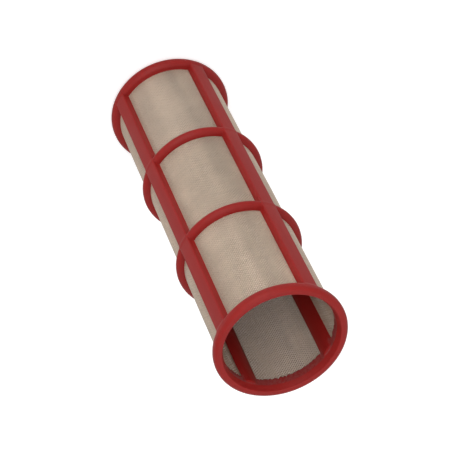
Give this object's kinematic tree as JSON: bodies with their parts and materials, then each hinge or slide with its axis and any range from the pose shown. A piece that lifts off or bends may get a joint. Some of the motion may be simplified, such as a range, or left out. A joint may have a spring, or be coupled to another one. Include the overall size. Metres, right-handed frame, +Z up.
{
  "type": "line filter element",
  "caption": "Cylindrical strainer element: a moulded red plastic cage with end rings, hoops and ribs holding a rolled sleeve of woven wire cloth.",
  "frame": {"origin": "centre of the lower end face, on the surface that the element stands on", "axes": "+Z up along the element's axis; -Y towards the middle of one window of the cage"},
  "size_m": [0.038, 0.038, 0.1175],
  "materials": {
    "cage_plastic": "satin moulded polypropylene, red",
    "steel_cloth": "plain woven stainless wire cloth, dull"
  },
  "bodies": {
    "root": {"cage": "cage_plastic", "wire_cloth": "steel_cloth"}
  },
  "joints": []
}
